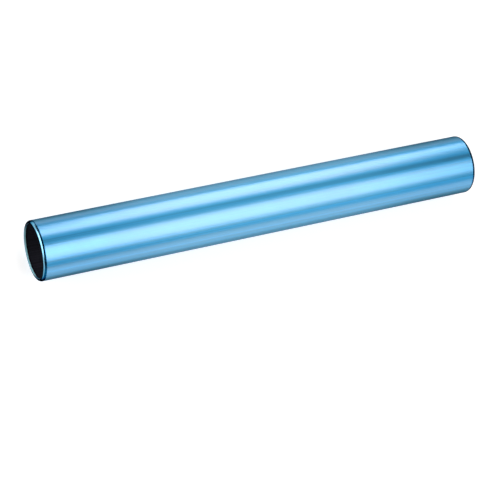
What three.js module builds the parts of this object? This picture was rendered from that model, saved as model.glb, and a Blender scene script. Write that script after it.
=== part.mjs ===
// A relay baton: one drawn aluminium tube, open right through, with both ends rolled inwards.
// Millimetres, +Z up. The tube lies along X, centred on the origin in X and Y,
// and rests at Z = 0 on the lowest flat of its round wall.
import * as THREE from 'three';

// Sizes of the tube
const tubeLength = 300;
const outerDiameter = 38;
const wall = 1.2;

// Sizes of each rolled end: the hollow of the roll, along and across the tube, the flat front
// of the lip, and the rounding of both corners of the cut edge that faces the axis
const rollInsideLength = 0.6;
const rollInsideDepth = 0.15;
const lipFrontWidth = 0.15;
const cutEdgeRounding = 0.25;

// Fineness of the round surfaces
const sideCount = 64;
const rollSteps = 5;
const cutEdgeSteps = 2;

// Colour and finish of the anodised metal
const anodisedColour = 0x3d96c4;
const anodisedRoughness = 0.3;
const anodisedMetalness = 0.9;

// Sizes that follow from the ones above
const quarterTurn = Math.PI / 2;
const outerRadius = outerDiameter / 2;
const rollLength = rollInsideLength + wall;
const rollDepth = rollInsideDepth + wall;
const endFaceStation = tubeLength / 2;
const lipBackStation = endFaceStation - wall;
const rollStation = endFaceStation - rollLength;
const rollRadius = outerRadius - rollDepth;
const cutEdgeCornerRadius = rollRadius - lipFrontWidth;

// Points of a round stretch of the section, as (distance from the axis, station along it).
// Angle 0 points straight out from the axis, and a quarter turn points out of the tube's end.
function roundStretch({ radius, station, depth, length, from, to, steps }) {
  const points = [];
  for (let step = 0; step <= steps; step += 1) {
    const angle = from + (to - from) * (step / steps);
    const across = radius + depth * Math.cos(angle);
    const along = station + length * Math.sin(angle);
    points.push(new THREE.Vector2(across, along));
  }
  return points;
}

// One end of the wall's section: round the outside of the roll, over both corners of the lip's
// cut edge, and back round the hollow of the roll to the bore.
function rolledEnd() {
  const outside = roundStretch({
    radius: rollRadius,
    station: rollStation,
    depth: rollDepth,
    length: rollLength,
    from: 0,
    to: quarterTurn,
    steps: rollSteps,
  });
  const frontCorner = roundStretch({
    radius: cutEdgeCornerRadius,
    station: endFaceStation - cutEdgeRounding,
    depth: cutEdgeRounding,
    length: cutEdgeRounding,
    from: quarterTurn,
    to: 2 * quarterTurn,
    steps: cutEdgeSteps,
  });
  const backCorner = roundStretch({
    radius: cutEdgeCornerRadius,
    station: lipBackStation + cutEdgeRounding,
    depth: cutEdgeRounding,
    length: cutEdgeRounding,
    from: 2 * quarterTurn,
    to: 3 * quarterTurn,
    steps: cutEdgeSteps,
  });
  const hollow = roundStretch({
    radius: rollRadius,
    station: rollStation,
    depth: rollInsideDepth,
    length: rollInsideLength,
    from: quarterTurn,
    to: 0,
    steps: rollSteps,
  });
  return [...outside, ...frontCorner, ...backCorner, ...hollow];
}

// The whole section: the end at +X, then the same points mirrored for the end at -X,
// closed on its first point.
function wallSection() {
  const farEnd = rolledEnd();
  const nearEnd = farEnd.map((point) => new THREE.Vector2(point.x, -point.y)).reverse();
  return [...farEnd, ...nearEnd, farEnd[0].clone()];
}

// Revolves the section. The wall has flats that touch the true circle, one of them at the very
// bottom, so that the tube lies still and measures its full diameter.
function tubeGeometry() {
  const halfSide = Math.PI / sideCount;
  const cornerScale = 1 / Math.cos(halfSide);
  const section = wallSection();
  for (const point of section) {
    point.x *= cornerScale;
  }
  return new THREE.LatheGeometry(section, sideCount, halfSide, 4 * quarterTurn);
}

const anodisedMetal = new THREE.MeshStandardMaterial({
  color: anodisedColour,
  roughness: anodisedRoughness,
  metalness: anodisedMetalness,
});

// The section is revolved about the Y axis, then laid down along X and lifted onto its flat.
const batonTube = new THREE.Mesh(tubeGeometry(), anodisedMetal);
batonTube.name = 'baton_tube';
batonTube.rotation.z = -quarterTurn;
batonTube.position.z = outerRadius;

const relayBaton = new THREE.Group();
relayBaton.add(batonTube);

export default relayBaton;
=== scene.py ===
import math
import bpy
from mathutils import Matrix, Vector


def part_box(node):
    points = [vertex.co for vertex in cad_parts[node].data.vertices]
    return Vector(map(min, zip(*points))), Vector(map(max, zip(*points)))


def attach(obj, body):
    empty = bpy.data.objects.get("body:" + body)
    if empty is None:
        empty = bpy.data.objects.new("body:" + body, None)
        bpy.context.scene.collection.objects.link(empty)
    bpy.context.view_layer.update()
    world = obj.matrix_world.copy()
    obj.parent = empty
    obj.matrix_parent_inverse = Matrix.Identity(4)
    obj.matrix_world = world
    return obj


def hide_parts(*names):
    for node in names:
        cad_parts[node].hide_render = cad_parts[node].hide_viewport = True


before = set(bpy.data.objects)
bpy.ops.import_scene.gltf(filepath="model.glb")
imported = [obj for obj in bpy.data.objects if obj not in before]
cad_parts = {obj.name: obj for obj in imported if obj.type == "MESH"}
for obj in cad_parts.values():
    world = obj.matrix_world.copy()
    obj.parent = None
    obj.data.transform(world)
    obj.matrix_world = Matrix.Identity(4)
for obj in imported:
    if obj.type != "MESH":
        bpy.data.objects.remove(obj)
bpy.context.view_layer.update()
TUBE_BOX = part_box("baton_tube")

from types import SimpleNamespace

import bpy
from mathutils import Euler, Matrix, Vector

bl_info = {
    "name": "Relay baton",
    "version": (1, 0, 0),
    "blender": (4, 5, 0),
    "location": "3D View > Sidebar > Relay baton",
    "description": "Builds a rolled-lip relay baton of anodised aluminium and the studio that shows it",
    "category": "Add Mesh",
}

# All lengths are in metres. The baton lies along X with its lowest line on the floor.
TUBE_LENGTH = TUBE_BOX[1].x - TUBE_BOX[0].x
TUBE_DIAMETER = TUBE_BOX[1].z - TUBE_BOX[0].z
AXIS_HEIGHT = (TUBE_BOX[1].z + TUBE_BOX[0].z) / 2
MILLIMETRE = 0.001
RIGHT_ANGLE = math.pi / 2

# A short stretch of wall beside each roll has faces of its own, so that the roll shades cleanly.
SHOULDER_LENGTH = 0.3 * MILLIMETRE

# How many points each straight stretch and each curve of the profile gets
WALL_POINTS = 49
SHOULDER_POINTS = 2
ROLL_POINTS = 25
CORNER_POINTS = 9

# Ends of neighbouring stretches that are closer than this become one point.
WELD_DISTANCE = 0.001 * MILLIMETRE

# A face counts as bore up to this share of the wall's thickness outside the bore's radius.
BORE_MARGIN_SHARE = 0.1


class BatonSizes(bpy.types.PropertyGroup):
    """Sizes of the rolled tube"""
    length: bpy.props.FloatProperty(
        name="Length", description="Whole length over both rolled lips",
        default=TUBE_LENGTH, min=0.05, unit="LENGTH", subtype="DISTANCE")
    outer_diameter: bpy.props.FloatProperty(
        name="Outer diameter", description="Diameter over the outside wall",
        default=TUBE_DIAMETER, min=0.01, unit="LENGTH", subtype="DISTANCE")
    wall: bpy.props.FloatProperty(
        name="Wall", description="Thickness of the drawn wall",
        default=1.2 * MILLIMETRE, min=0.0001, unit="LENGTH", subtype="DISTANCE")
    roll_inside_length: bpy.props.FloatProperty(
        name="Roll inside length", description="Length of the roll along the tube, on its inside",
        default=0.6 * MILLIMETRE, min=0.0001, unit="LENGTH", subtype="DISTANCE")
    roll_inside_depth: bpy.props.FloatProperty(
        name="Roll inside depth", description="How far the roll comes in, on its inside",
        default=0.15 * MILLIMETRE, min=0.00005, unit="LENGTH", subtype="DISTANCE")
    lip_front_width: bpy.props.FloatProperty(
        name="Lip front width", description="Width of the flat ring at the front of each lip",
        default=0.15 * MILLIMETRE, min=0.00005, unit="LENGTH", subtype="DISTANCE")
    edge_rounding: bpy.props.FloatProperty(
        name="Edge rounding", description="Radius of both corners of the wall's cut edge",
        default=0.25 * MILLIMETRE, min=0.00005, unit="LENGTH", subtype="DISTANCE")
    segments_around: bpy.props.IntProperty(
        name="Segments around", description="Flats that the round wall is built from",
        default=288, min=32, max=512)


class BatonFinish(bpy.types.PropertyGroup):
    """Colours and surface of the anodised metal"""
    dyed_colour: bpy.props.FloatVectorProperty(
        name="Dyed colour", description="Colour of the anodised wall",
        default=(0.044, 0.49, 0.86), min=0.0, max=1.0, subtype="COLOR")
    # Painted shade: the wall is darker towards both ends, where less light falls.
    end_shade_colour: bpy.props.FloatVectorProperty(
        name="End shade colour", description="Colour of the wall at both ends, painted darker as shade",
        default=(0.014, 0.41, 0.80), min=0.0, max=1.0, subtype="COLOR")
    # Painted shade: the colour that the wall is darkened to towards its outline.
    outline_shade_colour: bpy.props.FloatVectorProperty(
        name="Outline shade colour",
        description="Colour of the wall seen at a slant, painted darker towards the outline as shade",
        default=(0.006, 0.20, 0.25), min=0.0, max=1.0, subtype="COLOR")
    # Painted reflection: the lips' shoulders are painted dark navy, as dark surroundings would mirror in
    # them.
    shoulder_shade_colour: bpy.props.FloatVectorProperty(
        name="Shoulder shade colour", description="Dark colour painted as a reflection on the shoulder of each lip",
        default=(0.003, 0.08, 0.18), min=0.0, max=1.0, subtype="COLOR")
    crest_colour: bpy.props.FloatVectorProperty(
        name="Crest colour", description="Colour of the lip's front, where the dye is thinnest",
        default=(0.14, 0.40, 0.56), min=0.0, max=1.0, subtype="COLOR")
    cut_colour: bpy.props.FloatVectorProperty(
        name="Cut colour", description="Colour of the dull cut edge that faces the axis",
        default=(0.50, 0.92, 1.0), min=0.0, max=1.0, subtype="COLOR")
    # Painted shade: the inside of the tube is painted near black.
    bore_shade_colour: bpy.props.FloatVectorProperty(
        name="Bore shade colour", description="Colour of the wall inside the tube",
        default=(0.022, 0.021, 0.031), min=0.0, max=1.0, subtype="COLOR")
    roughness: bpy.props.FloatProperty(
        name="Roughness", description="Roughness of the etched metal under the dye",
        default=0.57, min=0.0, max=1.0, subtype="FACTOR")
    coat_roughness: bpy.props.FloatProperty(
        name="Coat roughness", description="Roughness of the clear sealed film over the dye",
        default=0.26, min=0.0, max=1.0, subtype="FACTOR")
    line_spacing: bpy.props.FloatProperty(
        name="Line spacing", description="Distance between the fine lines left by the drawing die",
        default=0.22 * MILLIMETRE, min=0.00001, unit="LENGTH", subtype="DISTANCE")
    line_depth: bpy.props.FloatProperty(
        name="Line depth", description="Height of the fine lines",
        default=0.004 * MILLIMETRE, min=0.0, precision=6, unit="LENGTH", subtype="DISTANCE")


class BatonStudio(bpy.types.PropertyGroup):
    """Camera, floor and room"""
    camera_azimuth: bpy.props.FloatProperty(
        name="Camera azimuth", description="Turn of the view about the vertical, from the front",
        default=math.radians(-55.938), unit="ROTATION", subtype="ANGLE")
    camera_elevation: bpy.props.FloatProperty(
        name="Camera elevation", description="Height of the view over the floor's plane",
        default=math.radians(62.889), unit="ROTATION", subtype="ANGLE")
    camera_roll: bpy.props.FloatProperty(
        name="Camera roll", description="Turn of the camera about its own line of sight",
        default=math.radians(40.716), unit="ROTATION", subtype="ANGLE")
    camera_distance: bpy.props.FloatProperty(
        name="Camera distance", description="Distance from the camera to the point it aims at",
        default=1.24, min=0.1, unit="LENGTH", subtype="DISTANCE")
    camera_aim: bpy.props.FloatVectorProperty(
        name="Camera aim", description="Point that the camera aims at",
        default=(-0.00488, -0.02148, -0.00288), unit="LENGTH", subtype="TRANSLATION")
    focal_length: bpy.props.FloatProperty(
        name="Focal length", description="Lens of the camera in millimetres, on a 36 mm sensor",
        default=138.92, min=10.0, unit="CAMERA")
    floor_size: bpy.props.FloatProperty(
        name="Floor size", description="Side of the square floor",
        default=40.0, min=1.0, unit="LENGTH", subtype="DISTANCE")
    floor_colour: bpy.props.FloatVectorProperty(
        name="Floor colour", description="Colour of the plain floor",
        default=(0.55, 0.55, 0.55), min=0.0, max=1.0, subtype="COLOR")
    floor_glow: bpy.props.FloatProperty(
        name="Floor glow", description="Brightness added to the floor where it shows as the background",
        default=0.67, min=0.0, max=1.0, subtype="FACTOR")
    room_level: bpy.props.FloatProperty(
        name="Room level", description="Brightness of the plain room round the lamps",
        default=0.12, min=0.0, max=1.0, subtype="FACTOR")


def add_node(tree, kind, label="", inputs=None, **settings):
    """Add a node, set its options, then fill or link its inputs"""
    node = tree.nodes.new(kind)
    node.label = label
    for option, value in settings.items():
        setattr(node, option, value)
    for socket, value in (inputs or {}).items():
        if isinstance(value, bpy.types.NodeSocket):
            tree.links.new(value, node.inputs[socket])
        else:
            node.inputs[socket].default_value = value
    return node


def calculate(tree, operation, first, second=0.0):
    """Return the result of a math node on two values or sockets"""
    return add_node(tree, "ShaderNodeMath", inputs={0: first, 1: second}, operation=operation).outputs[0]


def product(tree, first, *others):
    """Return the product of values or sockets"""
    result = first
    for value in others:
        result = calculate(tree, "MULTIPLY", result, value)
    return result


def inverse(tree, mask):
    """Return a mask that is full where the given one is empty"""
    return calculate(tree, "SUBTRACT", 1.0, mask)


def distance_from_axis(tree, beside, above):
    """Return how far a place is from the tube's axis, from its two distances across it"""
    return calculate(tree, "SQRT", calculate(
        tree, "ADD", product(tree, beside, beside), product(tree, above, above)))


def combined(tree, **parts):
    """Return a vector made of the given parts"""
    return add_node(tree, "ShaderNodeCombineXYZ", inputs=parts).outputs[0]


def new_group(name, kind, inputs, outputs):
    """Make an empty node group with named sockets, and return it with its two end nodes' sockets"""
    tree = bpy.data.node_groups.new(name, kind)
    for title, socket_type, default in inputs:
        socket = tree.interface.new_socket(title, in_out="INPUT", socket_type=socket_type)
        if default is not None:
            socket.default_value = default
    for title, socket_type in outputs:
        tree.interface.new_socket(title, in_out="OUTPUT", socket_type=socket_type)
    return tree, tree.nodes.new("NodeGroupInput").outputs, tree.nodes.new("NodeGroupOutput").inputs


def curve_line(tree, start, end):
    """Return a straight stretch of the profile between two (station, radius) pairs"""
    points = {}
    for title, (station, radius) in (("Start", start), ("End", end)):
        points[title] = combined(tree, X=station, Y=radius)
    return add_node(tree, "GeometryNodeCurvePrimitiveLine", inputs=points, mode="POINTS").outputs[0]


def curve_arc(tree, count, start, sweep, centre, half_axes):
    """Return an elliptical stretch of the profile about a (station, radius) pair"""
    arc = add_node(tree, "GeometryNodeCurveArc", inputs={
        "Resolution": count, "Radius": 1.0, "Start Angle": start, "Sweep Angle": sweep},
        mode="RADIUS").outputs[0]
    return add_node(tree, "GeometryNodeTransform", inputs={
        "Geometry": arc,
        "Translation": combined(tree, X=centre[0], Y=centre[1]),
        "Scale": combined(tree, X=half_axes[0], Y=half_axes[1], Z=1.0)}).outputs[0]


def resampled(tree, curve, count):
    """Return a curve divided into evenly spaced points"""
    return add_node(tree, "GeometryNodeResampleCurve", inputs={
        "Curve": curve, "Count": count}).outputs[0]


def joined(tree, label, curves):
    """Return several curves as one geometry"""
    node = add_node(tree, "GeometryNodeJoinGeometry", label)
    for curve in curves:
        tree.links.new(curve, node.inputs[0])
    return node.outputs[0]


def profile_marks(tree, given):
    """Return the stations along the tube, the radii and the sizes of the roll that set the profile"""
    wall = given["Wall"]
    rounding = given["Edge rounding"]
    marks = SimpleNamespace()
    marks.end_station = calculate(tree, "DIVIDE", given["Length"], 2.0)
    marks.radius = calculate(tree, "DIVIDE", given["Outer diameter"], 2.0)
    marks.roll_length = calculate(tree, "ADD", given["Roll inside length"], wall)
    marks.roll_depth = calculate(tree, "ADD", given["Roll inside depth"], wall)
    marks.roll_station = calculate(tree, "SUBTRACT", marks.end_station, marks.roll_length)
    marks.shoulder_station = calculate(tree, "SUBTRACT", marks.roll_station, SHOULDER_LENGTH)
    marks.roll_radius = calculate(tree, "SUBTRACT", marks.radius, marks.roll_depth)
    marks.bore_radius = calculate(tree, "SUBTRACT", marks.radius, wall)
    marks.corner_radius = calculate(tree, "SUBTRACT", marks.roll_radius, given["Lip front width"])
    marks.mouth_radius = calculate(tree, "SUBTRACT", marks.corner_radius, rounding)
    marks.front_station = calculate(tree, "SUBTRACT", marks.end_station, rounding)
    marks.inner_station = calculate(tree, "SUBTRACT", marks.end_station, wall)
    marks.back_station = calculate(tree, "ADD", marks.inner_station, rounding)
    return marks


def lip_profile(tree, given, marks):
    """Return one end of the profile, from the outside wall round the cut edge to the bore"""
    roll = (marks.roll_station, marks.roll_radius)
    roll_inside = (given["Roll inside length"], given["Roll inside depth"])
    corner = (given["Edge rounding"], given["Edge rounding"])
    return joined(tree, "Lip profile", (
        resampled(tree, curve_line(tree, (marks.shoulder_station, marks.radius),
                                   (marks.roll_station, marks.radius)), SHOULDER_POINTS),
        curve_arc(tree, ROLL_POINTS, RIGHT_ANGLE, -RIGHT_ANGLE, roll,
                  (marks.roll_length, marks.roll_depth)),
        curve_line(tree, (marks.end_station, marks.roll_radius),
                   (marks.end_station, marks.corner_radius)),
        curve_arc(tree, CORNER_POINTS, 0.0, -RIGHT_ANGLE,
                  (marks.front_station, marks.corner_radius), corner),
        curve_line(tree, (marks.front_station, marks.mouth_radius),
                   (marks.back_station, marks.mouth_radius)),
        curve_arc(tree, CORNER_POINTS, -RIGHT_ANGLE, -RIGHT_ANGLE,
                  (marks.back_station, marks.corner_radius), corner),
        curve_line(tree, (marks.inner_station, marks.corner_radius),
                   (marks.inner_station, marks.roll_radius)),
        curve_arc(tree, ROLL_POINTS, 0.0, RIGHT_ANGLE, roll, roll_inside),
        resampled(tree, curve_line(tree, (marks.roll_station, marks.bore_radius),
                                   (marks.shoulder_station, marks.bore_radius)), SHOULDER_POINTS),
    ))


def wall_profile(tree, given, marks):
    """Return the whole outline of the wall, cut along the axis, as one closed loop"""
    lip = lip_profile(tree, given, marks)
    far_lip = add_node(tree, "GeometryNodeTransform", "Far lip profile", {
        "Geometry": lip, "Scale": (-1.0, 1.0, 1.0)}).outputs[0]
    far_station = product(tree, marks.shoulder_station, -1.0)
    walls = []
    for radius in (marks.radius, marks.bore_radius):
        straight = curve_line(tree, (far_station, radius), (marks.shoulder_station, radius))
        walls.append(resampled(tree, straight, WALL_POINTS))
    edges = add_node(tree, "GeometryNodeCurveToMesh", inputs={
        "Curve": joined(tree, "Whole profile", (lip, far_lip, *walls))})
    welded = add_node(tree, "GeometryNodeMergeByDistance", inputs={
        "Geometry": edges.outputs[0], "Distance": WELD_DISTANCE})
    return add_node(tree, "GeometryNodeMeshToCurve", inputs={"Mesh": welded.outputs[0]}).outputs[0]


def turned_round(tree, profile, radius, segments):
    """Return the profile turned once round the tube's axis, laid along X on the floor"""
    upright = add_node(tree, "GeometryNodeTransform", "Radius along X", {
        "Geometry": profile, "Rotation": Euler((0.0, 0.0, -RIGHT_ANGLE)),
        "Translation": combined(tree, X=product(tree, radius, -1.0))})
    circle = add_node(tree, "GeometryNodeCurvePrimitiveCircle", inputs={
        "Resolution": segments, "Radius": radius}, mode="RADIUS")
    path = add_node(tree, "GeometryNodeSetCurveNormal", inputs={"Curve": circle.outputs[0]},
                    mode="Z_UP")
    shell = add_node(tree, "GeometryNodeCurveToMesh", inputs={
        "Curve": path.outputs[0], "Profile Curve": upright.outputs[0]})
    lifted = add_node(tree, "GeometryNodeTransform", "Lay along X on the floor", {
        "Geometry": shell.outputs[0], "Rotation": Euler((0.0, RIGHT_ANGLE, 0.0)),
        "Translation": combined(tree, Z=radius)})
    return add_node(tree, "GeometryNodeSetShadeSmooth", inputs={"Geometry": lifted.outputs[0]}).outputs[0]


def bore_faces(tree, given, marks):
    """Return a mask of the faces inside the bore, behind the lips"""
    place = add_node(tree, "ShaderNodeSeparateXYZ", inputs={
        0: add_node(tree, "GeometryNodeInputPosition").outputs[0]}).outputs
    height = calculate(tree, "SUBTRACT", place["Z"], marks.radius)
    limit = calculate(tree, "ADD", marks.bore_radius, product(tree, given["Wall"], BORE_MARGIN_SHARE))
    inner_side = calculate(tree, "LESS_THAN", distance_from_axis(tree, place["Y"], height), limit)
    station = calculate(tree, "ABSOLUTE", place["X"])
    behind_lips = calculate(tree, "LESS_THAN", station, marks.inner_station)
    return product(tree, inner_side, behind_lips)


def rolled_tube_tree(values, wall_material, bore_material):
    """Make the tree that turns the wall's profile round the tube's axis"""
    sockets = []
    for title, value in values.items():
        sockets.append((title, "NodeSocketInt" if isinstance(value, int) else "NodeSocketFloat", value))
    tree, given, result = new_group("Rolled tube", "GeometryNodeTree", sockets,
                                    (("Geometry", "NodeSocketGeometry"),))
    marks = profile_marks(tree, given)
    profile = wall_profile(tree, given, marks)
    tube = turned_round(tree, profile, marks.radius, given["Segments around"])
    whole = add_node(tree, "GeometryNodeRealizeInstances", inputs={"Geometry": tube})
    outside = add_node(tree, "GeometryNodeSetMaterial", inputs={
        "Geometry": whole.outputs[0], "Material": wall_material})
    inside = add_node(tree, "GeometryNodeSetMaterial", inputs={
        "Geometry": outside.outputs[0], "Selection": bore_faces(tree, given, marks),
        "Material": bore_material})
    tree.links.new(inside.outputs[0], result["Geometry"])
    return tree


def plain_piece(name, tree, values):
    """Run a geometry tree once and return its result as a plain mesh object"""
    piece = bpy.data.objects.new(name, bpy.data.meshes.new(name))
    bpy.context.scene.collection.objects.link(piece)
    modifier = piece.modifiers.new("Shape", "NODES")
    modifier.node_group = tree
    for item in tree.interface.items_tree:
        if item.item_type == "SOCKET" and item.in_out == "INPUT":
            modifier[item.identifier] = values[item.name]
    bpy.context.view_layer.update()
    finished = piece.evaluated_get(bpy.context.evaluated_depsgraph_get())
    mesh = bpy.data.meshes.new_from_object(finished)
    mesh.name = name
    piece.modifiers.clear()
    piece.data = mesh
    return piece


def ramp(tree, value, bounds, without=0.0, within=1.0):
    """Return a value that goes smoothly from without to within, while the given one crosses its bounds"""
    return add_node(tree, "ShaderNodeMapRange", inputs={
        "Value": value, "From Min": bounds[0], "From Max": bounds[1],
        "To Min": without, "To Max": within}, interpolation_type="SMOOTHSTEP").outputs[0]


def masked(tree, mask, without, within):
    """Return a value that goes smoothly from without to within as a mask fills"""
    return ramp(tree, mask, (0.0, 1.0), without, within)


def zone(tree, value, origin, unit, shares):
    """Return a mask that fills between two shares of a length, measured from an origin"""
    return ramp(tree, value, (origin + shares[0] * unit, origin + shares[1] * unit))


# Heights of the noise between which dark bands give way to light ones, and clean places to marks
BAND_HEIGHTS = (0.38, 0.62)
MARK_HEIGHTS = (0.42, 0.70)


def tool_lines_group():
    """Make the group for lines that a die or a roller leaves in the metal"""
    tree, given, result = new_group("Tool lines", "ShaderNodeTree", (
        ("Place", "NodeSocketVector", None),
        ("Spacing", "NodeSocketFloat", MILLIMETRE),
        ("Run", "NodeSocketFloat", 100 * MILLIMETRE),
        ("Detail", "NodeSocketFloat", 2.0),
    ), (("Height", "NodeSocketFloat"), ("Bands", "NodeSocketFloat")))
    across = calculate(tree, "DIVIDE", 1.0, given["Spacing"])
    along = calculate(tree, "DIVIDE", 1.0, given["Run"])
    scaled = add_node(tree, "ShaderNodeVectorMath", inputs={
        0: given["Place"], 1: combined(tree, X=along, Y=across, Z=across)}, operation="MULTIPLY")
    height = add_node(tree, "ShaderNodeTexNoise", inputs={
        "Vector": scaled.outputs[0], "Scale": 1.0, "Detail": given["Detail"],
        "Roughness": 0.55}).outputs["Fac"]
    tree.links.new(height, result["Height"])
    tree.links.new(ramp(tree, height, BAND_HEIGHTS), result["Bands"])
    return tree


def handling_group():
    """Make the group for the faint cloudy marks that hands leave"""
    tree, given, result = new_group("Handling marks", "ShaderNodeTree", (
        ("Place", "NodeSocketVector", None),
        ("Patch size", "NodeSocketFloat", 30 * MILLIMETRE),
    ), (("Marks", "NodeSocketFloat"),))
    count = calculate(tree, "DIVIDE", 1.0, given["Patch size"])
    patches = add_node(tree, "ShaderNodeTexNoise", inputs={
        "Vector": given["Place"], "Scale": count, "Detail": 4.0, "Roughness": 0.6,
        "Distortion": 0.4}).outputs["Fac"]
    tree.links.new(ramp(tree, patches, MARK_HEIGHTS), result["Marks"])
    return tree


def placed_group(tree, group, label, inputs):
    """Place a shader node group and return its outputs"""
    return add_node(tree, "ShaderNodeGroup", label, inputs, node_tree=group).outputs


def mix_colours(tree, factor, first, second, blend="MIX"):
    """Return the mix of two colours, each a socket or three parts, by a mask or a fixed share"""
    inputs = {0: factor}
    for place, value in ((6, first), (7, second)):
        inputs[place] = value if isinstance(value, bpy.types.NodeSocket) else (*value, 1.0)
    return add_node(tree, "ShaderNodeMix", inputs=inputs, data_type="RGBA", blend_type=blend).outputs[2]


def toned(colour, tone):
    """Return a colour made darker or lighter"""
    return tuple(tone * part for part in colour)


def new_material(name):
    """Make a material and return it with its tree and its main shader"""
    material = bpy.data.materials.new(name)
    material.use_nodes = True
    tree = material.node_tree
    return material, tree, tree.nodes["Principled BSDF"]


def tube_place(tree):
    """Return the place on the tube, measured from the middle of its axis"""
    coordinates = add_node(tree, "ShaderNodeTexCoord").outputs["Object"]
    return add_node(tree, "ShaderNodeMapping", "Centre on the axis", {
        "Vector": coordinates, "Location": (0.0, 0.0, -AXIS_HEIGHT)}).outputs[0]


# Towards both ends the wall is painted darker between these shares of half the tube's length, from its
# middle: painted shade, as the ends get less light. The same mask makes the ends smoother and less
# coated.
END_ZONE_SHARES = (0.30, 0.92)

# The lip and its crest set in between these shares of the roll's length, from the very end.
LIP_SHARES = (1.08, 0.98)
CREST_SHARES = (0.56, 0.40)

# The crest reaches further in from the end at the rear than at the front, by this share of the
# distance across: painted light, as its lighter colour covers more of the dark shoulder at the rear,
# where light falls on it.
CREST_LEAN_SHARE = 0.03

# Across the wall, the crest sets in between these shares of the edge rounding, outwards from the
# rounding's centre.
CREST_BAND_SHARES = (-0.15, 0.35)

# The cut edge sets in between these shares of the wall, from the very end, and of the edge
# rounding, inwards from its centre.
CUT_SHARES = (1.3, 1.0)
CUT_BAND_SHARES = (0.75, 0.98)


def wall_zones(tree, place, sizes):
    """Return masks of both ends, where shade is painted, the lips, their crests and shoulders, and the
    cut
    """
    parts = add_node(tree, "ShaderNodeSeparateXYZ", inputs={0: place}).outputs
    station = calculate(tree, "ABSOLUTE", parts["X"])
    leaning = calculate(tree, "ADD", station, product(tree, parts["Y"], CREST_LEAN_SHARE))
    radius = distance_from_axis(tree, parts["Y"], parts["Z"])
    end_station = sizes.length / 2
    roll_length = sizes.roll_inside_length + sizes.wall
    corner_radius = (sizes.outer_diameter / 2 - sizes.wall - sizes.roll_inside_depth
                     - sizes.lip_front_width)
    zones = SimpleNamespace()
    zones.ends = zone(tree, station, 0.0, end_station, END_ZONE_SHARES)
    zones.lip = zone(tree, station, end_station, -roll_length, LIP_SHARES)
    zones.crest = product(
        tree, zone(tree, leaning, end_station, -roll_length, CREST_SHARES),
        zone(tree, radius, corner_radius, sizes.edge_rounding, CREST_BAND_SHARES))
    zones.shoulder = product(tree, zones.lip, inverse(tree, zones.crest))
    zones.cut = product(
        tree, zone(tree, radius, corner_radius, -sizes.edge_rounding, CUT_BAND_SHARES),
        zone(tree, station, end_station, -sizes.wall, CUT_SHARES))
    return zones


# The slant is 0 face on and 1 edge on. Between these slants the colour is painted darker towards
# the outline, by these shares at most: painted shade in place of dark reflections at the edges.
WALL_SLANTS = (0.34, 0.72)
LIP_SLANTS = (0.50, 0.70)
CUT_SLANTS = (0.30, 0.66)
WALL_OUTLINE_SHADE_SHARE = 0.60
END_OUTLINE_SHADE_SHARE = 0.85
LIP_OUTLINE_SHADE_SHARE = 0.96
CUT_OUTLINE_SHADE_SHARE = 0.85

# Darkest and lightest tone of the broad streaks, and tone of the darker colour painted on the lips
# towards their outline, as shade
STREAK_TONES = (0.87, 1.12)
LIP_OUTLINE_SHADE_TONE = 0.12

# The crest is worn through least where the roller's rings are lowest, and fully where they're high.
WEAR_HEIGHTS = (0.2, 0.6)
LEAST_WEAR_SHARE = 0.6


def wall_colour(tree, finish, zones, slant, streaks, rings):
    """Return the colour of the dyed wall, the lips with their worn crests and the bare cut edge, with
    shade painted at both ends, towards the outline and on the lips' shoulders
    """
    # Towards both ends the dyed colour gives way to a darker one: painted shade.
    even = mix_colours(tree, zones.ends, tuple(finish.dyed_colour), tuple(finish.end_shade_colour))
    tones = mix_colours(tree, streaks["Bands"], (STREAK_TONES[0],) * 3, (STREAK_TONES[1],) * 3)
    streaked = mix_colours(tree, 1.0, even, tones, "MULTIPLY")
    # The shoulder of each lip is painted dark: a painted reflection of dark surroundings.
    rolled = mix_colours(tree, zones.shoulder, streaked, tuple(finish.shoulder_shade_colour))
    worn = product(tree, zones.crest, ramp(tree, rings["Height"], WEAR_HEIGHTS, LEAST_WEAR_SHARE, 1.0))
    dyed = mix_colours(tree, worn, rolled, tuple(finish.crest_colour))

    # Where the wall is seen at a slant, towards its outline, its colour is painted darker: painted shade,
    # stronger at the ends and on the lips.
    wall_outline_shading = masked(tree, zones.ends, WALL_OUTLINE_SHADE_SHARE, END_OUTLINE_SHADE_SHARE)
    outline_shading = masked(tree, zones.lip, ramp(tree, slant, WALL_SLANTS, 0.0, wall_outline_shading),
                       ramp(tree, slant, LIP_SLANTS, 0.0, LIP_OUTLINE_SHADE_SHARE))
    shaded_outline = mix_colours(tree, zones.lip, tuple(finish.outline_shade_colour),
                          toned(finish.shoulder_shade_colour, LIP_OUTLINE_SHADE_TONE))
    film = mix_colours(tree, outline_shading, dyed, shaded_outline)
    # Seen at a slant, the cut edge is painted towards the dark shoulder colour: painted shade.
    cut = mix_colours(tree, ramp(tree, slant, CUT_SLANTS, 0.0, CUT_OUTLINE_SHADE_SHARE),
                      tuple(finish.cut_colour), tuple(finish.shoulder_shade_colour))
    return mix_colours(tree, zones.cut, film, cut)


# The clear film's weight, and the share of it that is left at a full slant and lost on the crest
COAT_WEIGHT = 0.95
END_COAT_WEIGHT = 0.88
WALL_COAT_SLANTS = (0.31, 0.76)
LIP_COAT_SLANTS = (0.30, 0.65)
WALL_COAT_LEFT_SHARE = 0.30
END_COAT_LEFT_SHARE = 0.15
CREST_COAT_LOST_SHARE = 0.45


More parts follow.
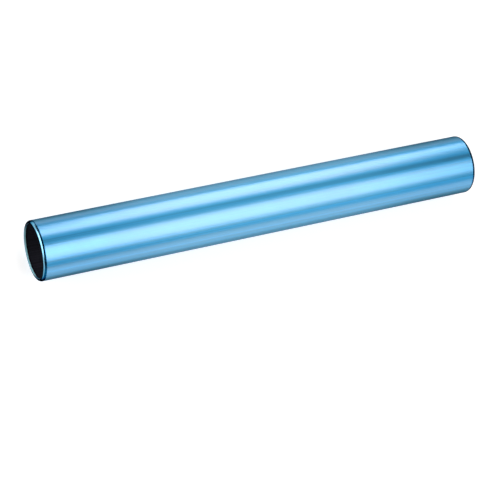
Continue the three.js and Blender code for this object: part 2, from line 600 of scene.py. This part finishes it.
def coat_weight(tree, zones, slant):
    """Return the weight of the clear film, which working took off the shoulder and part of the crest"""
    wall_left = masked(tree, zones.ends, WALL_COAT_LEFT_SHARE, END_COAT_LEFT_SHARE)
    left = masked(tree, zones.lip, ramp(tree, slant, WALL_COAT_SLANTS, 1.0, wall_left),
                  ramp(tree, slant, LIP_COAT_SLANTS, 1.0, 0.0))
    lost = calculate(tree, "ADD", zones.shoulder, product(tree, zones.crest, CREST_COAT_LOST_SHARE))
    full = masked(tree, zones.ends, COAT_WEIGHT, END_COAT_WEIGHT)
    return product(tree, inverse(tree, lost), left, full)


# How much the metal's roughness changes either way over the streaks, under handling marks, at both
# ends and on the lips
STREAK_ROUGHNESS = 0.06
STREAK_HEIGHTS = (0.3, 0.7)
HANDLED_ROUGHNESS = 0.035
END_SMOOTHING = 0.10
LIP_SMOOTHING = 0.20

# The cut edge is bare and dull.
CUT_ROUGHNESS = 0.85
CUT_METALLIC = 0.15


def wall_roughness(tree, finish, zones, streaks, handled):
    """Return the roughness of the metal under the clear film"""
    drawn = ramp(tree, streaks["Height"], STREAK_HEIGHTS, finish.roughness - STREAK_ROUGHNESS,
                 finish.roughness + STREAK_ROUGHNESS)
    smudged = calculate(tree, "ADD", drawn, product(tree, handled["Marks"], HANDLED_ROUGHNESS))
    smoother = calculate(tree, "SUBTRACT", smudged, product(tree, zones.ends, END_SMOOTHING))
    burnished = calculate(tree, "SUBTRACT", smoother, product(tree, zones.lip, LIP_SMOOTHING))
    return masked(tree, zones.cut, burnished, CUT_ROUGHNESS)


def relief(tree, height, depth):
    """Return the normal of a surface with low relief"""
    return add_node(tree, "ShaderNodeBump", inputs={
        "Strength": 1.0, "Distance": depth, "Height": height}).outputs[0]


# Reflection of the dyed metal at a grazing angle, and the index of its clear film
GRAZING_TINT = (0.008, 0.05, 0.12, 1.0)
FILM_INDEX = 2.3


def anodised_wall(finish, sizes, lines, handling):
    """Make the dyed satin metal of the outside wall and the lips"""
    material, tree, shader = new_material("Anodised wall")
    place = tube_place(tree)
    zones = wall_zones(tree, place, sizes)
    slant = add_node(tree, "ShaderNodeLayerWeight", inputs={"Blend": 0.5}).outputs["Facing"]
    fine = placed_group(tree, lines, "Fine drawn lines", {
        "Place": place, "Spacing": finish.line_spacing, "Run": 60 * MILLIMETRE, "Detail": 2.0})
    streaks = placed_group(tree, lines, "Broad streaks", {
        "Place": place, "Spacing": 1.7 * MILLIMETRE, "Run": 500 * MILLIMETRE, "Detail": 3.0})
    rings = placed_group(tree, lines, "Rings left by the roller", {
        "Place": place, "Spacing": 60 * MILLIMETRE, "Run": 0.12 * MILLIMETRE, "Detail": 1.0})
    handled = placed_group(tree, handling, "Handled places", {
        "Place": place, "Patch size": 35 * MILLIMETRE})
    height = calculate(tree, "ADD", product(tree, fine["Height"], inverse(tree, zones.lip)),
                       product(tree, rings["Height"], zones.lip))
    for socket, value in (
            ("Base Color", wall_colour(tree, finish, zones, slant, streaks, rings)),
            ("Metallic", masked(tree, zones.cut, 1.0, CUT_METALLIC)),
            ("Roughness", wall_roughness(tree, finish, zones, streaks, handled)),
            ("Coat Weight", coat_weight(tree, zones, slant)),
            ("Normal", relief(tree, height, finish.line_depth))):
        tree.links.new(value, shader.inputs[socket])
    shader.inputs["Coat Roughness"].default_value = finish.coat_roughness
    shader.inputs["Coat IOR"].default_value = FILM_INDEX
    shader.inputs["Specular Tint"].default_value = GRAZING_TINT
    return material


# Tones of the bore's drawn bands, its roughness without and under marks, how much higher its lines
# stand than the wall's, and its dull shine
BORE_TONES = (0.7, 1.3)
BORE_ROUGHNESS = (0.60, 0.75)
BORE_LINE_RATIO = 2.0
BORE_METALLIC = 0.3
BORE_SPECULAR = 0.2


def bore_wall(finish, lines, handling):
    """Make the dull metal inside the tube, painted near black as the shade of its hollow"""
    material, tree, shader = new_material("Bore wall")
    place = tube_place(tree)
    coarse = placed_group(tree, lines, "Coarse drawn lines", {
        "Place": place, "Spacing": 0.5 * MILLIMETRE, "Run": 90 * MILLIMETRE, "Detail": 3.0})
    dull = placed_group(tree, handling, "Dull places", {"Place": place, "Patch size": 20 * MILLIMETRE})
    dark, light = (toned(finish.bore_shade_colour, tone) for tone in BORE_TONES)
    for socket, value in (
            ("Base Color", mix_colours(tree, coarse["Bands"], dark, light)),
            ("Roughness", masked(tree, dull["Marks"], *BORE_ROUGHNESS)),
            ("Normal", relief(tree, coarse["Height"], BORE_LINE_RATIO * finish.line_depth))):
        tree.links.new(value, shader.inputs[socket])
    shader.inputs["Metallic"].default_value = BORE_METALLIC
    shader.inputs["Specular IOR Level"].default_value = BORE_SPECULAR
    return material


class BATON_OT_tube(bpy.types.Operator):
    """Build the rolled tube with its dyed wall, burnished lips with painted dark shoulders, and a bore
    painted near black as shade
    """
    bl_idname = "baton.tube"
    bl_label = "Build the rolled tube"

    def execute(self, context):
        sizes = context.scene.baton_sizes
        finish = context.scene.baton_finish
        lines = tool_lines_group()
        handling = handling_group()
        values = {
            "Length": sizes.length,
            "Outer diameter": sizes.outer_diameter,
            "Wall": sizes.wall,
            "Roll inside length": sizes.roll_inside_length,
            "Roll inside depth": sizes.roll_inside_depth,
            "Lip front width": sizes.lip_front_width,
            "Edge rounding": sizes.edge_rounding,
            "Segments around": sizes.segments_around,
        }
        tree = rolled_tube_tree(values, anodised_wall(finish, sizes, lines, handling),
                                bore_wall(finish, lines, handling))
        tube = plain_piece("rolled_tube", tree, values)
        if not tube.data.polygons:
            raise RuntimeError("the rolled tube came out empty")
        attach(tube, "root")
        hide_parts("baton_tube")
        return {"FINISHED"}


# Soft boxes stand round the tube's axis at this distance and face it. A box's angle is measured in
# degrees from straight up towards the front, and its turn in its own plane. Its middle is how far
# its centre stands along X. A level of 1 is as bright as white.
BOX_DISTANCE = 1.1
SOFT_BOXES = (
    {"name": "Front box", "angle": 32.5, "middle": 0.365, "size": (0.79, 0.98), "level": 3.0},
    {"name": "Rear box", "angle": -53.0, "turn": -14.0, "middle": 0.43, "size": (0.60, 0.911),
     "level": 3.1},
    {"name": "Low front box", "angle": 62.5, "middle": 0.28, "size": (0.56, 0.19), "level": 1.4},
)

# The side panel stands upright beyond the near end and faces along the tube.
PANEL_PLACE = (-1.0, 0.3, 0.43)
PANEL_SIZE = (0.82, 1.3)
PANEL_LEVEL = 4.2

# Width of the camera's sensor in millimetres
SENSOR_WIDTH = 36.0

FLOOR_ROUGHNESS = 0.9
WHITE = (1.0, 1.0, 1.0, 1.0)


def add_lamp(name, place, turned, size, level):
    """Add a rectangular lamp of an even brightness that the camera doesn't see"""
    lamp = bpy.data.lights.new(name, "AREA")
    lamp.shape = "RECTANGLE"
    lamp.size, lamp.size_y = size
    lamp.energy = level * math.pi * lamp.size * lamp.size_y
    box = bpy.data.objects.new(name, lamp)
    box.location = place
    box.rotation_euler = turned
    box.visible_camera = False
    bpy.context.scene.collection.objects.link(box)


def add_soft_box(name, angle, middle, size, level, turn=0.0):
    """Add a lamp that faces the tube's axis"""
    lean = math.radians(angle)
    place = (middle, -BOX_DISTANCE * math.sin(lean), AXIS_HEIGHT + BOX_DISTANCE * math.cos(lean))
    turned = Matrix.Rotation(lean, 3, "X") @ Matrix.Rotation(math.radians(turn), 3, "Z")
    add_lamp(name, place, turned.to_euler(), size, level)


def add_camera(scene, studio):
    """Add the camera that sees the baton as the photograph does"""
    lens = bpy.data.cameras.new("Camera")
    lens.lens = studio.focal_length
    lens.sensor_width = SENSOR_WIDTH
    camera = bpy.data.objects.new("Camera", lens)
    turn = studio.camera_azimuth
    rise = studio.camera_elevation
    back = Vector((math.sin(turn) * math.cos(rise), -math.cos(turn) * math.cos(rise), math.sin(rise)))
    camera.location = Vector(studio.camera_aim) + back * studio.camera_distance
    level = Euler((RIGHT_ANGLE - rise, 0.0, turn)).to_matrix()
    camera.rotation_euler = (level @ Matrix.Rotation(studio.camera_roll, 3, "Z")).to_euler()
    scene.collection.objects.link(camera)
    scene.camera = camera


def seen_rays(tree):
    """Return 1 for a ray that shows the background, straight on or in a reflection"""
    rays = add_node(tree, "ShaderNodeLightPath").outputs
    mirrored = calculate(tree, "MAXIMUM", rays["Is Glossy Ray"], rays["Is Transmission Ray"])
    return calculate(tree, "MAXIMUM", rays["Is Camera Ray"], mirrored)


def add_floor(scene, studio):
    """Add the plain floor, which keeps the baton's shadow and shows white round it"""
    half = studio.floor_size / 2
    sheet = bpy.data.meshes.new("Floor")
    sheet.from_pydata([(-half, -half, 0.0), (half, -half, 0.0), (half, half, 0.0), (-half, half, 0.0)],
                      [], [(0, 1, 2, 3)])
    floor = bpy.data.objects.new("Floor", sheet)
    scene.collection.objects.link(floor)
    material, tree, shader = new_material("Plain floor")
    shader.inputs["Base Color"].default_value = (*studio.floor_colour, 1.0)
    shader.inputs["Roughness"].default_value = FLOOR_ROUGHNESS
    shader.inputs["Specular IOR Level"].default_value = 0.0
    shader.inputs["Emission Color"].default_value = WHITE
    tree.links.new(product(tree, seen_rays(tree), studio.floor_glow), shader.inputs["Emission Strength"])
    sheet.materials.append(material)


def set_room(scene, studio):
    """Set the plain room round the lamps"""
    room = bpy.data.worlds.new("Room")
    room.use_nodes = True
    backdrop = room.node_tree.nodes["Background"]
    backdrop.inputs["Color"].default_value = WHITE
    backdrop.inputs["Strength"].default_value = studio.room_level
    scene.world = room


class BATON_OT_stage(bpy.types.Operator):
    """Set the camera, the plain floor, the room and the soft lamps"""
    bl_idname = "baton.stage"
    bl_label = "Set the stage"

    def execute(self, context):
        scene = context.scene
        studio = scene.baton_studio
        add_camera(scene, studio)
        add_floor(scene, studio)
        set_room(scene, studio)
        for box in SOFT_BOXES:
            add_soft_box(**box)
        add_lamp("Side panel", PANEL_PLACE, (0.0, -RIGHT_ANGLE, 0.0), PANEL_SIZE, PANEL_LEVEL)
        scene.view_settings.view_transform = "Standard"
        return {"FINISHED"}


class BATON_PT_sidebar(bpy.types.Panel):
    """Lists the sizes, the finish, the studio and the steps that build them"""
    bl_idname = "BATON_PT_sidebar"
    bl_label = "Relay baton"
    bl_space_type = "VIEW_3D"
    bl_region_type = "UI"
    bl_category = "Relay baton"

    def draw(self, context):
        layout = self.layout
        for title, group in (("Sizes", context.scene.baton_sizes),
                             ("Finish", context.scene.baton_finish),
                             ("Studio", context.scene.baton_studio)):
            column = layout.box().column()
            column.label(text=title)
            for field in group.bl_rna.properties:
                if field.identifier not in {"rna_type", "name"}:
                    column.prop(group, field.identifier)
        layout.operator(BATON_OT_tube.bl_idname)
        layout.operator(BATON_OT_stage.bl_idname)


CLASSES = (BatonSizes, BatonFinish, BatonStudio, BATON_OT_tube, BATON_OT_stage, BATON_PT_sidebar)


def register():
    for item in CLASSES:
        bpy.utils.register_class(item)
    bpy.types.Scene.baton_sizes = bpy.props.PointerProperty(type=BatonSizes)
    bpy.types.Scene.baton_finish = bpy.props.PointerProperty(type=BatonFinish)
    bpy.types.Scene.baton_studio = bpy.props.PointerProperty(type=BatonStudio)


def unregister():
    del bpy.types.Scene.baton_studio
    del bpy.types.Scene.baton_finish
    del bpy.types.Scene.baton_sizes
    for item in reversed(CLASSES):
        bpy.utils.unregister_class(item)


def main():
    register()
    bpy.ops.baton.stage()
    bpy.ops.baton.tube()


if __name__ == "__main__":
    main()
